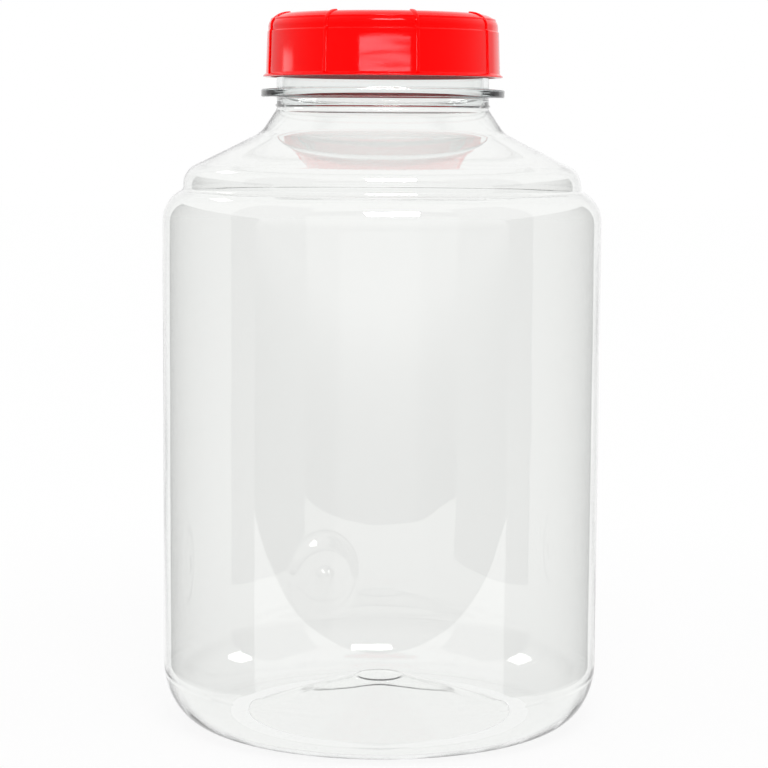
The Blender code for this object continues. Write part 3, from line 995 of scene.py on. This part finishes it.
def clear_pet():
    """Clear blown plastic: slightly uneven, with a faint blue-green tint in its depth."""
    material, tree, shader = new_material(
        "clear_pet_blown",
        Base_Color=PET_COLOUR,
        Roughness=PET_ROUGHNESS,
        IOR=PET_IOR,
        Transmission_Weight=1.0,
    )
    waves = noise(tree, *BLOWN_WAVES)
    height = add_node(
        tree,
        "ShaderNodeSeparateXYZ",
        Vector=tree.nodes.new("ShaderNodeTexCoord").outputs["Object"],
    ).outputs["Z"]
    blown = stepped(tree, height, STEP_FOOT_HEIGHT, FLARE_FOOT_HEIGHT, 1.0, 0.0)
    bumped(tree, shader, waves, BLOWN_WAVE_DEPTH, blown)
    tint = add_node(
        tree, "ShaderNodeVolumeAbsorption", Color=PET_TINT, Density=PET_TINT_DENSITY
    )
    tree.links.new(tint.outputs[0], tree.nodes["Material Output"].inputs["Volume"])
    return material


def red_moulding():
    """Bright red moulded plastic with a fine skin and shallow sink marks over its thread."""
    material, tree, shader = new_material(
        "red_moulding_skin",
        Base_Color=RED_COLOUR,
        IOR=RED_IOR,
        Specular_Tint=RED_MIRROR_TINT,
    )
    roughness = ranged(tree, noise(tree, *RED_SKIN), 0.0, 1.0, *RED_ROUGHNESS)
    tree.links.new(roughness, shader.inputs["Roughness"])
    bumped(tree, shader, noise(tree, *RED_SINKS), RED_SINK_DEPTH)
    return material


def white_foam():
    """White closed-cell foam with a fine grain of cells."""
    material, tree, shader = new_material(
        "white_foam_sheet", Base_Color=FOAM_COLOUR, Roughness=FOAM_ROUGHNESS
    )
    place = tree.nodes.new("ShaderNodeTexCoord").outputs["Object"]
    cells = add_node(tree, "ShaderNodeTexVoronoi", Vector=place, Scale=FOAM_CELL_SCALE)
    bumped(tree, shader, cells.outputs["Distance"], FOAM_CELL_DEPTH)
    return material


# Floor, light and camera

def seen_mirrored(tree, path):
    """1 for a ray that one surface has mirrored, and 0 after none or after several."""
    some = maths(tree, "GREATER_THAN", path["Glossy Depth"], NO_BOUNCE)
    few = maths(tree, "LESS_THAN", path["Glossy Depth"], ONE_BOUNCE)
    return maths(tree, "MULTIPLY", some, few)


def seen_directly(tree):
    """1 for a ray from the camera that has at most passed through clear walls, and otherwise 0.

    The light path's own outputs come with it.
    """
    path = tree.nodes.new("ShaderNodeLightPath").outputs
    bounces = maths(tree, "ADD", path["Glossy Depth"], path["Diffuse Depth"])
    straight = maths(tree, "LESS_THAN", bounces, NO_BOUNCE)
    through = maths(tree, "MULTIPLY", path["Is Transmission Ray"], straight)
    return maths(tree, "MAXIMUM", path["Is Camera Ray"], through), path


def make_world():
    """A white backdrop for what is seen directly or through the bottle, and a soft room besides.

    A mirror image shows a bright ceiling, a dimmer front and the white backdrop behind.
    """
    world = bpy.data.worlds.new("studio")
    bpy.context.scene.world = world
    world.use_nodes = True
    tree = world.node_tree
    direct, path = seen_directly(tree)
    direction = add_node(
        tree,
        "ShaderNodeSeparateXYZ",
        Vector=tree.nodes.new("ShaderNodeTexCoord").outputs["Generated"],
    ).outputs
    overhead = stepped(tree, direction["Z"], 0.0, BRIGHT_RISE, HORIZON_LEVEL, 1.0)
    behind = stepped(tree, direction["Y"], *BACKDROP_BLEND, 0.0, 1.0)
    mirrored = maths(tree, "MAXIMUM", overhead, behind)
    glossy = seen_mirrored(tree, path)
    sharp = maths(tree, "MAXIMUM", path["Is Glossy Ray"], path["Is Transmission Ray"])
    reflected = blended(tree, maths(tree, "MULTIPLY", glossy, sharp), SKY_LEVEL, mirrored)
    background = tree.nodes["Background"]
    background.inputs["Color"].default_value = WHITE
    tree.links.new(blended(tree, direct, reflected, 1.0), background.inputs["Strength"])


def staged(name, mesh):
    """Sets this mesh on the stage, which isn't part of the carboy."""
    thing = bpy.data.objects.new(name, mesh)
    bpy.context.scene.collection.objects.link(thing)


def mirrored_ground(tree, place, path):
    """How brightly a mirror image shows each place of the floor.

    The near part is a white sheet that ends in a straight line before the bottle. Beyond it lies
    a dark ground that brightens far off, and is lighter in the middle and at the right.
    """
    parts = add_node(tree, "ShaderNodeSeparateXYZ", Vector=place).outputs
    ground = stepped(tree, parts["Y"], SHEET_EDGE, FAR_FLOOR, 0.0, HORIZON_LEVEL)
    aside = maths(tree, "DIVIDE", parts["X"], maths(tree, "SUBTRACT", 0.0, parts["Y"]))
    right_loss = MIDDLE_GAIN * MIDDLE_RIGHT_SHARE
    middle = stepped(tree, aside, *MIDDLE_LEFT_BLEND, 0.0, MIDDLE_GAIN)
    right = stepped(tree, aside, *MIDDLE_RIGHT_BLEND, 0.0, right_loss)
    ground = maths(tree, "SUBTRACT", maths(tree, "ADD", ground, middle), right)
    beyond = maths(tree, "LESS_THAN", parts["Y"], SHEET_EDGE)
    level = blended(tree, beyond, SHEET_LEVEL, ground)
    once = maths(tree, "LESS_THAN", path["Glossy Depth"], ONE_BOUNCE)
    return blended(tree, once, SKY_LEVEL, level)


def make_floor():
    """A pale floor that keeps the shadow near the bottle and turns white further off."""
    mesh = bpy.data.meshes.new("floor")
    corners = [(-1, -1), (1, -1), (1, 1), (-1, 1)]
    points = [(x * FLOOR_REACH, y * FLOOR_REACH, 0) for x, y in corners]
    mesh.from_pydata(points, [], [(0, 1, 2, 3)])
    material, tree, shader = new_material(
        "floor_sheet", Base_Color=FLOOR_COLOUR, Roughness=FLOOR_ROUGHNESS
    )
    material.cycles.emission_sampling = "NONE"
    mesh.materials.append(material)
    direct, path = seen_directly(tree)
    place = tree.nodes.new("ShaderNodeTexCoord").outputs["Object"]
    off = add_node(tree, "ShaderNodeVectorMath", {"operation": "LENGTH"}, Vector=place)
    share = stepped(tree, off.outputs["Value"], *FLOOR_BLEND, *FLOOR_WHITE_SHARES)
    white = add_node(tree, "ShaderNodeEmission", Strength=FLOOR_WHITE)
    toned = add_node(tree, "ShaderNodeMixShader", Fac=maths(tree, "MULTIPLY", share, direct))
    tree.links.new(shader.outputs[0], toned.inputs[1])
    tree.links.new(white.outputs[0], toned.inputs[2])
    mirrored = add_node(tree, "ShaderNodeEmission", Strength=mirrored_ground(tree, place, path))
    bounced = maths(tree, "GREATER_THAN", path["Glossy Depth"], NO_BOUNCE)
    final = add_node(tree, "ShaderNodeMixShader", Fac=bounced)
    tree.links.new(toned.outputs[0], final.inputs[1])
    tree.links.new(mirrored.outputs[0], final.inputs[2])
    tree.links.new(final.outputs[0], tree.nodes["Material Output"].inputs["Surface"])
    staged("floor", mesh)


def mirrored_material(name):
    """A material that shows only in mirror images, its tree, its glow and what mixes it in."""
    material = bpy.data.materials.new(name)
    material.use_nodes = True
    material.cycles.emission_sampling = "NONE"
    tree = material.node_tree
    tree.nodes.remove(tree.nodes["Principled BSDF"])
    path = tree.nodes.new("ShaderNodeLightPath").outputs
    glossy = seen_mirrored(tree, path)
    plain = maths(tree, "LESS_THAN", path["Diffuse Depth"], NO_BOUNCE)
    shown = add_node(tree, "ShaderNodeMixShader", Fac=maths(tree, "MULTIPLY", glossy, plain))
    clear = tree.nodes.new("ShaderNodeBsdfTransparent")
    glow = tree.nodes.new("ShaderNodeEmission")
    tree.links.new(clear.outputs[0], shown.inputs[1])
    tree.links.new(glow.outputs[0], shown.inputs[2])
    tree.links.new(shown.outputs[0], tree.nodes["Material Output"].inputs["Surface"])
    return material, tree, glow, shown


def mirrored_card(name, corners, level):
    """A card that shows only in mirror images, at this level.

    It gives its glow, what mixes it in, and its tree, for what changes them.
    """
    mesh = bpy.data.meshes.new(name)
    mesh.from_pydata([tuple(corner) for corner in corners], [], [(0, 1, 2, 3)])
    material, tree, glow, shown = mirrored_material(name)
    glow.inputs["Strength"].default_value = level
    mesh.materials.append(material)
    staged(name, mesh)
    return glow, shown, tree


def hide_from(card, comparison, crossings):
    """Hides the back of a card, and its face by how many surfaces the light has crossed.

    The comparison says whether the face is hidden above that number of crossings or below it.
    """
    _, shown, tree = card
    back = tree.nodes.new("ShaderNodeNewGeometry").outputs["Backfacing"]
    crossed = tree.nodes.new("ShaderNodeLightPath").outputs["Transmission Depth"]
    hidden = maths(tree, "MAXIMUM", back, maths(tree, comparison, crossed, crossings))
    share = shown.inputs["Fac"].links[0].from_socket
    front = maths(tree, "SUBTRACT", 1.0, hidden)
    tree.links.new(maths(tree, "MULTIPLY", share, front), shown.inputs["Fac"])


def make_cards():
    """Painted reflections at each side of the bottle: a dim glowing card, and a glowing card of
    painted glints that only the bottle's inside shows.
    """
    outline = [(CARD_FRONT, 0), (CARD_BACK, 0), (CARD_BACK, CARD_TOP), (CARD_FRONT, CARD_TOP)]
    # painted reflections: dim cards that glow only in mirror images
    for name, x in (("card_left", -CARD_DISTANCE), ("card_right", CARD_DISTANCE)):
        mirrored_card(name, [(x, y, z) for y, z in outline], CARD_LEVEL)
    x, y, z = SIDE_GLINT_PLACE
    across, up = (size / 2 for size in SIDE_GLINT_SIZE)
    # painted glints: cards that glow only in mirror images seen through the bottle's inside
    for name, side in (("lamp_left", -1), ("lamp_right", 1)):
        corners = [(side, -1), (-side, -1), (-side, 1), (side, 1)]
        face = [(side * x, y + way * across, z + rise * up) for way, rise in corners]
        hide_from(mirrored_card(name, face, SIDE_GLINT_LEVEL), "LESS_THAN", SIDE_GLINT_CROSSINGS)


def make_lid_cards():
    """Painted reflections on the lid: glowing cards that only its mirror image shows, a strip at
    its left and, close before it, a panel whose glow has streaks.
    """
    front, back, low, high = LID_STRIP
    corners = [(front, low), (back, low), (back, high), (front, high)]
    strip = [(LID_STRIP_PLACE, y, z) for y, z in corners]
    hide_from(mirrored_card("lid_strip", strip, LID_STRIP_LEVEL), "GREATER_THAN", NO_BOUNCE)
    left, right, low, high = LID_PANEL
    corners = [(right, low), (left, low), (left, high), (right, high)]
    panel = [(x, LID_PANEL_PLACE, z) for x, z in corners]
    card = mirrored_card("lid_panel", panel, LID_PANEL_LEVELS[1])
    glow, _, tree = card
    streaks = noise(tree, *LID_PANEL_STREAKS)
    level = ranged(tree, streaks, *LID_PANEL_CONTRAST, *LID_PANEL_LEVELS)
    tree.links.new(level, glow.inputs["Strength"])
    hide_from(card, "GREATER_THAN", NO_BOUNCE)


def make_light():
    """One large soft lamp, in front and above, and the face that its mirror images show."""
    data = bpy.data.lights.new("softbox", "AREA")
    data.shape = "RECTANGLE"
    data.size, data.size_y = SOFTBOX_SIZE
    data.energy = SOFTBOX_POWER
    lamp = bpy.data.objects.new("softbox", data)
    bpy.context.scene.collection.objects.link(lamp)
    aim = Vector(SOFTBOX_AIM) - Vector(SOFTBOX_PLACE)
    lamp.matrix_world = Matrix.LocRotScale(SOFTBOX_PLACE, aim.to_track_quat("-Z", "Y"), None)
    lamp.visible_camera = False
    lamp.visible_glossy = False
    lamp.visible_transmission = False
    half = [size / 2 for size in SOFTBOX_SIZE]
    corners = [(-1, -1), (1, -1), (1, 1), (-1, 1)]
    front = [lamp.matrix_world @ Vector((x * half[0], y * half[1], 0)) for x, y in corners]
    mirrored_card("softbox_face", front, SOFTBOX_GLARE)


def make_camera():
    """The camera of the photograph."""
    data = bpy.data.cameras.new("camera")
    data.lens = CAMERA_LENS
    data.sensor_width = CAMERA_SENSOR
    data.clip_start = CAMERA_CLIP_START
    camera = bpy.data.objects.new("camera", data)
    bpy.context.scene.collection.objects.link(camera)
    pitch = Matrix.Rotation(math.pi / 2 - CAMERA_PITCH, 4, "X")
    roll = Matrix.Rotation(CAMERA_ROLL, 4, "Z")
    camera.matrix_world = Matrix.Translation(CAMERA_PLACE) @ pitch @ roll
    bpy.context.scene.camera = camera


def ride_on(piece, body, node=None):
    """Rides a finished piece on its body, in place of a CAD node."""
    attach(piece, body)
    if node:
        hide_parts(node)


make_camera()
turning = turning_tree()
ride_on(make_bottle(clear_pet()), "bottle", "bottle")
shell, ribs, thread = make_lid(red_moulding(), turning)
ride_on(shell, "lid", "lid")
ride_on(ribs, "lid")
ride_on(thread, "lid")
ride_on(make_seal(white_foam(), turning), "seal", "lid_seal")
make_world()
make_floor()
make_cards()
make_lid_cards()
make_light()
bpy.context.scene.view_settings.view_transform = "Standard"
